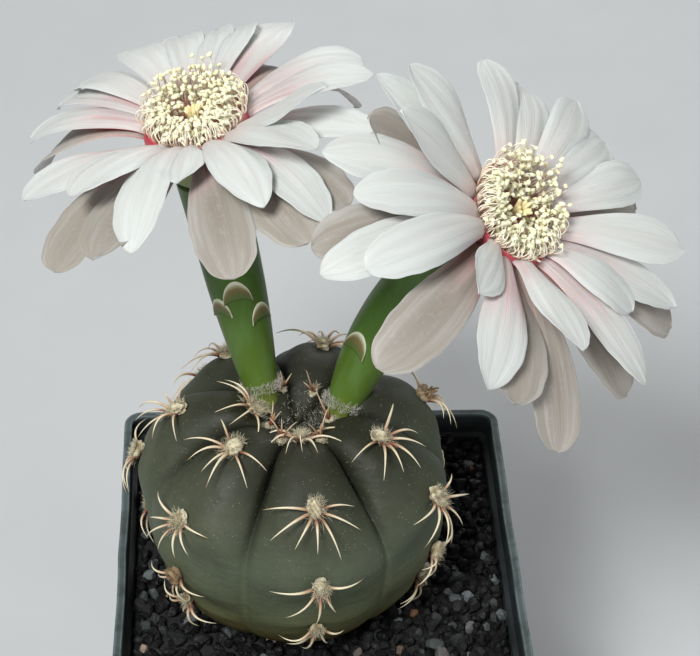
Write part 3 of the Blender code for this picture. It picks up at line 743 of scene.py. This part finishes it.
def make_skin():
    shares = 1 - np.linspace(0, 1, 22) ** 1.6
    azimuths = np.concatenate([
        (*(ridge - behind * shares[:-1]), *(ridge + ahead * shares[:0:-1]))
        for ridge, behind, ahead in rib_spans()
    ])
    foot = math.degrees(math.acos((GRAVEL_LEVEL - BODY[2]) / BASE_DROP))
    polars = np.concatenate([np.linspace(1.5, 20, 20), np.linspace(21, foot + 3, 118)])
    az, pol = np.meshgrid(azimuths, polars)
    points = body_point(az, pol)
    place = rib_at(az)[1]
    for azimuth, polar in areoles():
        here, normal, _, _ = surface_frame(azimuth, polar)
        near = bell(np.linalg.norm(points - here, axis=-1), 2.4)
        points = points - normal * near[..., None] * 0.45
    level = np.clip((pol - 8) / (foot - 8), 0, 1)
    fade = bell(pol - 44, 32)
    edge = 1 - np.abs(place)
    # Painted shade: a near-black line along the creases between ribs, strongest on the upper flanks.
    crease = bell(edge, 0.085) * (0.05 + 0.95 * fade)
    seam = bell(edge, 0.045) * np.clip((pol - 70) / 30, 0, 1)
    # Pale bloom on the flanks, partly a painted sheen: strongest at mid height, on the rib ridges and
    # towards the lit left side (azimuth 190).
    bloom = np.clip(np.sin(np.radians(pol)), 0, 1) ** 3 * (1 - place**2 * 0.7)
    bloom *= np.clip((132 - pol) / 45, 0, 1) * (0.55 + 0.45 * np.cos(np.radians(az - 190)))
    tail = points[-1] * (0.8, 0.8, 1) + (BODY[0] * 0.2, BODY[1] * 0.2, -5)
    verts = np.concatenate([body_point(0, 0)[None], points.reshape(-1, 3), tail])
    cols = len(azimuths)
    faces = [f + 1 for f in skin_faces(len(polars) + 1, cols, (False, True))]
    faces += [np.array([0, 1 + (k + 1) % cols, 1 + k]) for k in range(cols)]

    def column(values, first, last):
        return np.concatenate([[first], values.ravel(), np.full(cols, last)])

    shape = Shape()
    shape.add(
        verts, [f[::-1] for f in faces],
        level=column(level, 0, 1), crease=column(crease, 0.3, 0), bloom=column(bloom, 0, 0),
        seam=column(seam, 0, 0),
    )
    shape.build("cactus_skin", skin_finish(), "cactus_body", ["cactus_body"])


def tube_path(side, share):
    flower = FLOWERS[side]
    axis = unit(flower["faces"])
    start = np.array(flower["root"])
    end = np.array(flower["throat"]) + axis * TUBE_END
    bend = end - axis * flower["straight"]
    return start * (1 - share) ** 2 + bend * 2 * share * (1 - share) + end * share**2


def tube_radius(share):
    return np.interp(share, *zip(*TUBE_PROFILE))


def tube_frame(side, share, step):
    """Point, forward direction and two crosswise directions on a tube's middle line."""
    ahead = unit(tube_path(side, share + step) - tube_path(side, share - step))
    return tube_path(side, share), ahead, *crosswise(ahead)


def clear_of_tubes(points, margin):
    for side in FLOWERS:
        for share in np.linspace(0, 1, 25):
            gap = np.linalg.norm(points - tube_path(side, share), axis=-1).min()
            if gap < tube_radius(share) + margin:
                return False
    return True


def add_hairs(shape, here, normal, spread, count, length, draw, fine=1.0, **values):
    """Fine curly hairs round a point; each spread vector gives the half width of their patch."""
    for _ in range(count):
        turn, reach = draw.uniform(0, math.tau), math.sqrt(draw.uniform(0, 1))
        beside = toward(*spread, turn) * reach
        away = unit(normal * 0.9 + beside * 0.55 + draw.normal(size=3) * 0.4)
        size = length * draw.uniform(0.5, 1.1)
        line = [here + beside]
        for _ in range(3):
            line.append(line[-1] + away * size / 3)
            away = unit(away + draw.normal(size=3) * 0.3)
        # Painted shade: each hair is painted darker at its root, deep in the wool, and paler towards its
        # tip.
        rod(shape, line, HAIR_RADII * fine, 3, along=(0.35, 0.95), **values)


def add_cushion(shape, ball, faces, place, size, draw, stain):
    """A ragged felt cushion, taller than wide, under a coat of curly hairs."""
    here, normal, down, side = place
    waves = sum(
        np.sin(ball @ draw.normal(size=3) * rate + draw.uniform(0, 6)) / rate
        for rate in (3.0, 5.0, 8.0, 12.0, 17.0)
    )
    rough = 1 + 0.36 * waves[:, None] + 0.03 * draw.normal(size=(len(ball), 1)).clip(-2, 2)
    lump = ball * rough * (1.5 * size, 1.12 * size, 0.85 * size)
    # Painted shade: the felt is painted darker in its hollows, where the waves sink it, and paler on its
    # bumps.
    tone = 0.45 + 0.9 * waves.clip(-0.4, 0.5)
    shape.add(lump @ np.stack([down, side, normal]) + here + normal * 0.3, faces, along=tone, stain=stain)
    spread = (down * 1.5 * size, side * 1.15 * size)
    add_hairs(shape, here + normal * 0.75 * size, normal, spread, HAIRS, 1.2 * size, draw, stain=stain)
    low, lean = here + down * 0.9 * size + normal * 0.25, unit(normal + down * 0.9)
    add_hairs(shape, low, lean, spread, LONG_HAIRS, 1.9 * size, draw, stain=stain * 0.5)


def make_wool_and_spines():
    """Felt cushions and claw-like spines on every areole, and the young growth in the crown."""
    draw = np.random.default_rng(17)
    pick = draw.uniform
    ball, faces = ball_mesh(4)
    wool, fluff, spines = Shape(), Shape(), Shape()
    share = np.linspace(0, 1, 12)
    for azimuth, polar in areoles():
        place = here, normal, down, side = surface_frame(azimuth, polar)
        size = pick(0.98, 1.15) * (0.85 if polar > 110 else 1.0)
        if here[2] < GRAVEL_LEVEL + 3 or not clear_of_tubes(here[None], 1.2):
            continue
        stain = SCARRED.get((azimuth, polar), 0.25 * (polar > 100))
        add_cushion(wool, ball, faces, place, size, draw, stain)
        clocks = (-100, -66, -34, -6, 22, 54, 96) if polar < 100 else (-90, -52, -12, 30, 84)
        if polar in LEVEL_SPINES:
            clocks = (-86, -40, -8, 26, 88)
        for clock in clocks:
            clock += pick(-9, 9)
            along = toward(down, side, math.radians(clock))
            length = pick(6.4, 9.6) * (0.85 if polar > 90 else 1.0)
            rise = pick(1.5, 2.7)
            bow = side * pick(-0.8, 0.8) - normal * pick(0.3, 1.3)
            bow = bow + down * pick(0, 0.7)
            root = here + along * 0.5 - normal * 0.4 + down * 0.5
            tip = here + along * length * 0.94 + normal * rise * 0.4 + bow
            middle = here + along * length * 0.45 + normal * rise * 1.4
            line = bezier(root, middle, tip, 12)
            if line[:, 2].min() < GRAVEL_LEVEL + 0.9 or not clear_of_tubes(line, 0.3):
                continue
            radii = (0.25 * (1 - share**1.7) + 0.025) * pick(0.8, 1.1)
            rod(spines, line, radii, 7, along=(0, 1), shift=pick(-0.14, 0.08))
    for azimuth, polar, size in YOUNG:
        place = here, normal, down, side = surface_frame(azimuth, polar)
        if not clear_of_tubes(here[None], 0.4):
            continue
        add_cushion(wool, ball, faces, place, size, draw, 0.0)
        for clock in (-70, 10, 80):
            lean = toward(down, side, math.radians(clock + pick(-20, 20)))
            tip = here + normal * pick(3.4, 5.6) + lean * pick(0.8, 2.6)
            line = bezier(here - normal * 0.3, here + normal * 2.4 + lean * 0.3, tip, 12)
            if clear_of_tubes(line, 0.25):
                rod(spines, line, 0.22 * (1 - share**1.7) + 0.025, 7, along=(0, 0.6), shift=-0.12)
    for side_name in FLOWERS:
        root, ahead, _, _ = tube_frame(side_name, 0.06, 0.04)
        for _ in range(ROOT_HAIRS):
            away = draw.normal(size=3)
            away = unit(away - ahead * (away @ ahead))
            foot = root + away * (tube_radius(0.06) + pick(0.05, 0.5))
            foot = foot + ahead * pick(-1.2, 0.6)
            spread = (away * 0.1, ahead * 0.1)
            add_hairs(fluff, foot, unit(away * 0.8 + ahead), spread, 1, 1.1, draw, 0.6, stain=0.0)
    for _ in range(CROWN_HAIRS):
        here, normal, down, side = surface_frame(pick(0, 360), pick(0.5, 13))
        if clear_of_tubes(here[None], 0.3):
            add_hairs(fluff, here, normal, (down * 0.2, side * 0.2), 1, 1.0, draw, 0.6, stain=0.0)
    cream = wool_finish(
        "areole_wool", (0.0, (0.16, 0.11, 0.055)), (0.3, (0.33, 0.27, 0.155)), (0.65, (0.52, 0.46, 0.3)),
        (1.0, (0.7, 0.65, 0.48)),
    )
    white = wool_finish("crown_down", (0.2, (0.46, 0.4, 0.34)), (0.9, (0.8, 0.77, 0.7)))
    wool.build("areole_wool", cream, "cactus_body")
    fluff.build("crown_down", white, "cactus_body")
    spines.build("spines", spine_finish(), "cactus_body")


# Flowers


def flower_frame(side):
    """Throat, axis and two crosswise directions of a flower."""
    axis = unit(FLOWERS[side]["faces"])
    return np.array(FLOWERS[side]["throat"]), axis, *crosswise(axis)


def make_tube(side, finish, scale_look):
    shape = Shape()
    share = np.linspace(-0.03, 1.0, 64)
    line, _, across, other = tube_frame(side, share[:, None], 0.01)
    turn = math.tau * np.arange(40) / 40
    ridge = 1 + 0.012 * np.cos(turn * 5 + 0.7)[None] * np.sin(np.pi * share.clip(0, 1))[:, None]
    radius = np.convolve(np.pad(tube_radius(share), 4, "edge"), np.ones(9) / 9, "valid")
    verts = rings(line, across, other, radius[:, None] * ridge, 40)
    shape.add(verts, skin_faces(64, 40), along=np.repeat(share.clip(0, 1), 40))
    shape.build(side + "_tube", finish, "flower_tube", [side + "_flower_tube"])
    scales = Shape()
    for place, direction, breadth in SCALES[side]:
        add_scale(scales, side, place, direction, breadth)
    scales.build(side + "_scales", scale_look, "flower_tube")


def add_scale(shape, side, place, direction, breadth):
    """A thin crescent scale that hugs the tube and lifts a little at its upper edge."""
    centre, ahead, across, other = tube_frame(side, place, 0.02)
    radius, half = tube_radius(place), breadth / 2
    u, v = np.meshgrid(np.linspace(-1, 1, 25), np.linspace(0, 1, 13))
    arch = np.sqrt(np.clip(1 - u**2, 0, 1))
    up = half * (-0.55 - 0.35 * u**2 + v * (arch * 1.25 + 0.12))
    near_edge = np.clip(np.maximum(v, np.abs(u) ** 3), 0, 1)
    lift = 0.04 + 0.24 * near_edge**2 + 0.12 * np.sin(np.pi * v) * arch
    out = toward(across, other, math.radians(direction) + u * half / radius)
    top = centre + out * (radius + lift)[..., None] + ahead * up[..., None]
    low = centre + out * (radius - 0.3) + ahead * up[..., None]
    spot = np.arange(u.size).reshape(u.shape)
    quads = np.stack([spot[:-1, :-1], spot[:-1, 1:], spot[1:, 1:], spot[1:, :-1]], -1).reshape(-1, 4)
    edge = np.concatenate([spot[0], spot[1:, -1], spot[-1, -2::-1], spot[-2:0:-1, 0]])
    after = np.roll(edge, -1)
    walls = np.stack([edge + u.size, after + u.size, after, edge], -1)
    rim = np.clip(0.08 + 0.5 * v + 0.45 * near_edge**5, 0, 1)
    shape.add(
        np.stack([top, low]), np.concatenate([quads, quads[:, ::-1] + u.size, walls]),
        rim=np.tile(rim.ravel(), 2),
    )


def petal_breadth(share, blunt, point):
    """Share of a petal's breadth along it: a narrow foot, and a tip between round and pointed."""
    rise = 0.44 + 0.56 * np.sin(np.pi / 2 * np.minimum(1, share / 0.68)) ** 1.5
    return rise * np.clip(1 - np.maximum(0, (share - 0.6) / 0.4) ** blunt, 0.0004, 1) ** point


def add_petal(shape, side, direction, length, tip_angle, whorl, draw):
    """One thin closed blade: channelled, gently waved, with fine lengthwise ridges."""
    throat, axis, first, second = flower_frame(side)
    foot_radius, foot_height, foot_angle, breadth = WHORLS[whorl]
    pick = draw.uniform
    radial = toward(first, second, math.radians(direction))
    share = 1 - (1 - np.linspace(0, 1, 38)[:, None]) ** 1.35
    start = math.radians(foot_angle)
    bend = math.radians(tip_angle) - start
    angle = start + bend * share
    out = foot_radius + length * (math.cos(start) - np.cos(angle)) / bend
    up = foot_height + length * (np.sin(angle) - math.sin(start)) / bend
    travel = toward(axis, radial, angle[:, 0])
    line = throat + radial * out + axis * up
    line[0] -= travel[0] * 0.9
    cross = np.cross(axis, radial)
    upper = unit(np.cross(cross, travel))
    line = line + cross * pick(-0.9, 0.9) * share**2
    t = np.sin(np.linspace(-math.pi / 2, math.pi / 2, 23))
    wide = breadth * pick(0.92, 1.06)
    wide *= (1.12 if whorl == "outer" else 1.0) * (0.92 if length < 16 else 1.0)
    blunt, point = pick(1.6, 3.2), pick(0.44, 0.85)
    if whorl == "outer":
        blunt, point = blunt / 3 + 2.2, point / 3 + 0.28
    spread = wide / 2 * petal_breadth(share, blunt, point) * t
    channel = 0.24 * np.interp(share, (0, 0.35, 1), (1.5, 0.8, -0.6)) * pick(0.6, 1.3)
    wave = 0.42 * np.sin(share * pick(4, 9) + pick(0, 6)) * share
    wave = wave * np.abs(t) ** 1.5 * np.sign(t + pick(-0.3, 0.3))
    ridges = 0.06 * np.cos(t * pick(8, 14) + pick(0, 3)) * np.sin(np.pi * share) ** 0.5
    roll = math.radians(pick(-9, 9))
    rise = spread * (channel * t + math.sin(roll)) + wave + ridges
    thick = 0.17 * np.sqrt(1 - t**2) * np.interp(share, (0, 0.25, 1), (2.6, 1.4, 0.75))
    uneven = np.sin(share * pick(36, 50) + np.where(t < 0, *pick(0, 6, 2)))
    spread = spread * (1 + 0.045 * uneven * share**3)
    skin = line[:, None] + cross * spread[..., None]
    top = skin + upper[:, None] * (rise + thick)[..., None]
    low = skin + upper[:, None] * (rise - thick)[..., None]
    verts = np.concatenate([top, low[:, -2:0:-1]], axis=1)
    rows, cols = verts.shape[:2]
    shape.add(
        verts, skin_faces(rows, cols), along=np.repeat(share, cols),
        across=np.tile([*t, *t[-2:0:-1]], rows), under=np.tile(np.arange(cols) >= len(t), rows),
        seed=pick(0, 90), flush=pick(0.05, 0.35) if whorl == "inner" else pick(0.3, 0.75),
        blush={"inner": 0.55, "middle": 1.0, "outer": 0.6}[whorl],
    )


def make_petals(side, pale, dull, throat_look):
    draw = np.random.default_rng(40 + len(side))
    light, dark = Shape(), Shape()
    for whorl, petals in PETALS[side].items():
        for petal in petals:
            add_petal(dark if whorl == "outer" else light, side, *petal, whorl, draw)
    light.build(side + "_petals", pale, "petals", [side + "_flower_petals"])
    dark.build(side + "_outer_petals", dull, "petals")
    throat, axis, first, second = flower_frame(side)
    corners = np.arange(len(CUP_PROFILE))
    marks = np.linspace(0, 1, 6 * corners[-1] + 1)
    profile = [np.interp(marks * corners[-1], corners, column) for column in zip(*CUP_PROFILE)]
    profile = np.stack(profile, -1)
    for _ in range(3):
        profile[1:-1] = (profile[:-2] + 2 * profile[1:-1] + profile[2:]) / 4
    profile[0, 0] = profile[-1, 0] = 0.02
    turn = math.tau * np.arange(64) / 64
    cup = Shape()
    cup.add(
        rings(throat + axis * profile[:, 1:], first[None], second[None], profile[:, 0], 64),
        skin_faces(len(marks), 64),
        height=np.repeat(marks, 64), turn=np.tile(np.abs(turn - math.pi), len(marks)),
    )
    cup.build(side + "_throat", throat_look, "petals")


def make_stamens(side, finish):
    """Rings of thin filaments from the throat's wall, arching inwards under their anthers."""
    draw = np.random.default_rng(60 + len(side))
    pick = draw.uniform
    throat, axis, first, second = flower_frame(side)
    ball, faces = ball_mesh(2)
    shape = Shape()
    for _ in range(STAMENS):
        turn = pick(0, math.tau)
        level = pick(0, 1) ** 0.75
        radial = toward(first, second, turn)
        around = np.cross(axis, radial)
        back = radial @ np.array([-0.1, 0.9, 0.35])
        sunk = np.interp(level, (0, 1), (-5.8, 0.5))
        foot = throat + radial * np.interp(level, (0, 1), (4.2, 8.0)) + axis * sunk
        reach = np.interp(level, (0, 1), (2.8, 7.3)) + pick(-1.4, 1.3) + back * 0.6 * level
        height = np.interp(level, (0, 1), (0.4, 3.4)) + back * 2.2 * level + pick(-1.6, 1.8)
        tip = throat + radial * reach + around * pick(-1.0, 1.0) + axis * height
        arch = foot + axis * (height - sunk + 1.6) * 0.75 + radial * np.interp(level, (0, 1), (1.0, 1.7))
        line = bezier(foot, arch + draw.normal(size=3) * 0.3, tip, 9)
        rod(shape, line, np.linspace(0.11, 0.07, 9), 5, along=(0, 1), anther=0.0, shade=1 - level)
        lie = unit(draw.normal(size=3) + axis * 0.3)
        wide = unit(np.cross(lie, draw.normal(size=3)))
        basis = np.stack([lie, wide, np.cross(lie, wide)])
        bean = ball * (1 + 0.16 * draw.normal(size=(len(ball), 1)).clip(-1, 1))
        bean = bean * np.array((0.5, 0.34, 0.3)) * pick(0.85, 1.2)
        shape.add(bean @ basis + tip, faces, along=1.0, anther=1.0, shade=0.0)
    shape.build(side + "_stamens", finish, "stamens", [side + "_flower_stamens"])


def make_style(side, finish):
    draw = np.random.default_rng(80 + len(side))
    throat, axis, first, second = flower_frame(side)
    shape = Shape()
    top = throat + axis * 0.2
    line = bezier(throat - axis * 7.4, throat - axis * 3, top, 14)
    rod(shape, line, np.linspace(0.95, 0.8, 14), 16, along=(0, 0.5))
    for k in range(9):
        turn = math.tau * (k + draw.uniform(-0.25, 0.25)) / 9
        radial = toward(first, second, turn)
        foot = top - axis * 0.4 + radial * 0.4
        middle = foot + axis * 2.0 + radial * 0.35
        tip = middle + axis * draw.uniform(0.2, 0.9) + radial * draw.uniform(0.2, 0.8)
        radii = 0.4 * np.sqrt(1 - np.linspace(0, 0.93, 9) ** 3)
        rod(shape, bezier(foot, middle, tip, 9), radii, 9, along=(0.7, 1))
    shape.build(side + "_style", finish, "style", [side + "_flower_style"])


def make_remains():
    """A withered bud on one shoulder areole and a pale fruit scar low on the front left."""
    draw = np.random.default_rng(9)
    shape = Shape()
    here, normal, down, side = surface_frame(*BUD)
    for _ in range(16):
        away = unit(normal * 0.9 + toward(down, side, draw.uniform(0, math.tau)) * 0.7 + down * 0.5)
        foot = here + draw.normal(size=3) * 0.5
        middle = foot + away * draw.uniform(1.2, 2.2)
        tip = middle + unit(draw.normal(size=3) + down * 0.8) * draw.uniform(0.6, 1.5)
        rod(shape, bezier(foot, middle, tip, 7), np.linspace(0.45, 0.12, 7), 6)
    here, normal, down, side = surface_frame(*SCAR)
    big, small = 1.05, 0.42
    turn = math.tau * np.arange(16) / 16
    line = here + normal * (1.2 + small * np.sin(turn))[:, None]
    ring = rings(line, side[None], down[None], big + small * np.cos(turn), 32)
    shape.add(ring, skin_faces(16, 32, (False, False), joined=True))
    brown = grain_finish(
        "dried_remains", 0.85, (1200, 5), 0.0004,
        (0.3, (0.06, 0.03, 0.015)), (0.55, (0.22, 0.13, 0.06)), (0.8, (0.45, 0.36, 0.22)),
    )
    shape.build("dried_remains", brown, "cactus_body")


# Stage


def make_stage():
    """A pale floor that bends up into a wall behind."""
    rows = [(y, 0.0) for y in np.linspace(-FLOOR_REACH, FLOOR_BEND, 20, endpoint=False)]
    for angle in np.linspace(0, math.pi / 2, 21):
        rows.append((FLOOR_BEND + BEND_RADIUS * math.sin(angle), BEND_RADIUS * (1 - math.cos(angle))))
    rows.append((rows[-1][0], WALL_HEIGHT))
    verts = [(x, y, z) for y, z in rows for x in (-FLOOR_REACH, FLOOR_REACH)]
    faces = [(2 * k, 2 * k + 1, 2 * k + 3, 2 * k + 2) for k in range(len(rows) - 1)]
    mesh = bpy.data.meshes.new("floor")
    mesh.from_pydata(verts, [], faces)
    mesh.shade_smooth()
    floor = add_object("floor", mesh)
    f = Finish("floor_paper", 0.8)
    f.colour(f.mix(f.noise(40, 3), (0.5, 0.51, 0.52), (0.54, 0.55, 0.56)))
    mesh.materials.append(f.material)


def aim(obj, right, up, back, place):
    """Stands a lamp or camera at a place (m), its back turned the given way."""
    rows = np.stack([right, up, back, place], 1).tolist()
    obj.matrix_world = Matrix(rows + [[0, 0, 0, 1]])


def add_light(name, place, size, power, tint=(1, 1, 1)):
    data = bpy.data.lights.new(name, "AREA")
    data.shape = "RECTANGLE"
    data.size, data.size_y = size
    data.energy = power
    data.color = tint
    back = unit(np.array(place) - LIGHT_TARGET)
    right = unit(np.cross((0, 0, 1), back))
    aim(add_object(name, data), right, np.cross(back, right), back, place)


def make_lights():
    world = bpy.data.worlds.new("studio")
    world.use_nodes = True
    sky = world.node_tree.nodes["Background"].inputs
    sky["Color"].default_value = (0.9, 0.92, 0.93, 1)
    sky["Strength"].default_value = 0.2
    bpy.context.scene.world = world
    add_light("key", (-0.3, -0.42, 0.8), (0.25, 0.25), 8.8, (0.985, 1.0, 0.985))
    add_light("fill", (0.65, -0.4, 0.4), (0.5, 0.5), 1.7, (0.95, 0.98, 1.0))
    add_light("back", (0.15, 0.65, 0.45), (0.5, 0.3), 2.0)


def make_camera():
    """The photograph's view: 42 degrees above the horizon, a little to the left of the front."""
    azimuth, elevation, roll = np.radians(VIEW_ANGLES)
    level = np.array([math.sin(azimuth), math.cos(azimuth), 0]) * math.cos(elevation)
    ahead = level - np.array([0, 0, math.sin(elevation)])
    right = np.array([math.cos(azimuth), -math.sin(azimuth), 0])
    up = np.cross(right, ahead)
    data = bpy.data.cameras.new("camera")
    data.sensor_width = SENSOR_WIDTH
    data.lens = FOCAL_PIXELS / PHOTO_WIDTH * SENSOR_WIDTH
    data.clip_start, data.clip_end = 0.01, 10
    camera = add_object("camera", data)
    aim(camera, toward(right, up, roll), toward(up, -right, roll), -ahead, CAMERA_PLACE * MM)
    bpy.context.scene.camera = camera


def main():
    make_pot()
    make_gravel()
    make_skin()
    make_wool_and_spines()
    make_remains()
    tube_look, scale_look = tube_finish(), scale_finish()
    pale, dull = petal_finish("petals", False), petal_finish("outer_petals", True)
    throat_look, stamen_look, style_look = throat_finish(), stamen_finish(), style_finish()
    for side in FLOWERS:
        make_tube(side, tube_look, scale_look)
        make_petals(side, pale, dull, throat_look)
        make_stamens(side, stamen_look)
        make_style(side, style_look)
    make_stage()
    make_lights()
    make_camera()
    bpy.context.scene.view_settings.view_transform = "Standard"


main()
